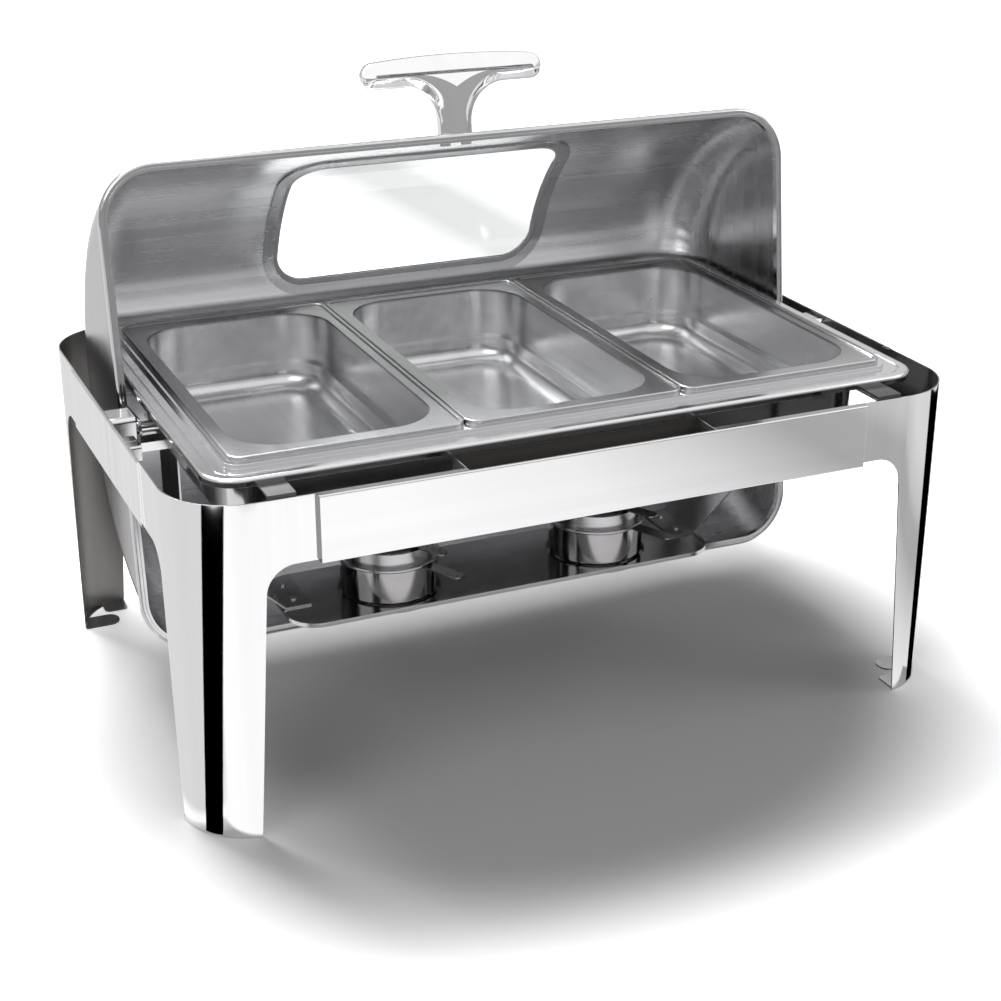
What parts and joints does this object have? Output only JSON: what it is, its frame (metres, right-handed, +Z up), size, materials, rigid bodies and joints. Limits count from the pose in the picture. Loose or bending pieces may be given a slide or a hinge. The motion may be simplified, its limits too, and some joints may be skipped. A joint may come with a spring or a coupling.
{
  "type": "roll top chafer",
  "caption": "Free-standing buffet food warmer: open stand, water pan with food pans, fuel burners below, and a half-drum cover with a window that rolls back under the pans.",
  "frame": {"origin": "on the table under the middle of the stand", "axes": "+X to the right along the pivot axis, +Y to the back, +Z up"},
  "size_m": [0.631, 0.439, 0.4916],
  "materials": {
    "polished_steel": "mirror-polished stainless steel sheet",
    "satin_steel": "satin stainless steel sheet",
    "pan_steel": "fine brushed stainless steel, deep drawn",
    "bright_steel": "bright plated steel fittings",
    "handle_chrome": "polished cast metal, chrome plated",
    "window_seal": "grey rubber edging",
    "window_glass": "clear curved window"
  },
  "bodies": {
    "stand": {"leg_front_left": "polished_steel", "leg_front_right": "polished_steel", "leg_back_left": "polished_steel", "leg_back_right": "polished_steel", "front_rail": "polished_steel", "back_rail": "polished_steel", "side_rail_left": "polished_steel", "side_rail_right": "polished_steel", "rail_studs": "satin_steel", "front_trough": "satin_steel", "bracket_rivets": "satin_steel", "fuel_shelf": "satin_steel", "shelf_rivets": "satin_steel", "corner_bracket_left": "satin_steel", "hinge_bracket_left": "bright_steel", "hinge_pin_left": "bright_steel", "hinge_washer_left": "bright_steel", "pin_nut_left": "bright_steel", "support_bar_left": "satin_steel", "pan_support_left": "satin_steel", "shelf_hanger_left": "satin_steel", "corner_bracket_right": "satin_steel", "hinge_bracket_right": "bright_steel", "hinge_pin_right": "bright_steel", "hinge_washer_right": "bright_steel", "pin_nut_right": "bright_steel", "support_bar_right": "satin_steel", "pan_support_right": "satin_steel", "shelf_hanger_right": "satin_steel"},
    "lid": {"lid_shell": "polished_steel", "lid_rim": "polished_steel", "handle": "handle_chrome", "handle_screws": "bright_steel", "window_gasket": "window_seal", "window_glass": "window_glass", "window_frame": "satin_steel", "lid_hinge_plate_left": "satin_steel", "lid_hinge_plate_right": "satin_steel", "hinge_plate_spacers": "bright_steel", "hinge_plate_screws": "bright_steel"},
    "water_pan": {"water_pan": "polished_steel"},
    "food_pan_left": {"food_pan_left": "pan_steel"},
    "food_pan_centre": {"food_pan_centre": "pan_steel"},
    "food_pan_right": {"food_pan_right": "pan_steel"},
    "burner_left": {"burner_cup_left": "polished_steel", "burner_ring_left": "satin_steel", "burner_handle_left": "satin_steel", "burner_rivet_left": "bright_steel"},
    "burner_cover_left": {"burner_cover_left": "satin_steel"},
    "burner_right": {"burner_cup_right": "polished_steel", "burner_ring_right": "satin_steel", "burner_handle_right": "satin_steel", "burner_rivet_right": "bright_steel"},
    "burner_cover_right": {"burner_cover_right": "satin_steel"}
  },
  "joints": [
    {"name": "lid_roll", "type": "hinge", "parent": "stand", "child": "lid", "pos_m": [0, 0, 0.242], "axis": [-1, 0, 0], "range_deg": [-97, 0]},
    {"name": "water_pan_lift", "type": "slide", "parent": "stand", "child": "water_pan", "axis": [0, -0.28, 0.96], "range_m": [0, 0.05]},
    {"name": "food_pan_left_lift", "type": "slide", "parent": "water_pan", "child": "food_pan_left", "axis": [0, 0, 1], "range_m": [0, 0.04]},
    {"name": "food_pan_centre_lift", "type": "slide", "parent": "water_pan", "child": "food_pan_centre", "axis": [0, 0, 1], "range_m": [0, 0.04]},
    {"name": "food_pan_right_lift", "type": "slide", "parent": "water_pan", "child": "food_pan_right", "axis": [0, 0, 1], "range_m": [0, 0.04]},
    {"name": "burner_left_lift", "type": "slide", "parent": "stand", "child": "burner_left", "axis": [0, 0, 1], "range_m": [0, 0.05]},
    {"name": "burner_cover_left_swing", "type": "hinge", "parent": "burner_left", "child": "burner_cover_left", "pos_m": [-0.06688, 0.00207, 0.1235], "axis": [0, 0, 1], "range_deg": [0, 100]},
    {"name": "burner_right_lift", "type": "slide", "parent": "stand", "child": "burner_right", "axis": [0, 0, 1], "range_m": [0, 0.05]},
    {"name": "burner_cover_right_swing", "type": "hinge", "parent": "burner_right", "child": "burner_cover_right", "pos_m": [0.12212, 0.00207, 0.1235], "axis": [0, 0, 1], "range_deg": [0, 100]}
  ]
}
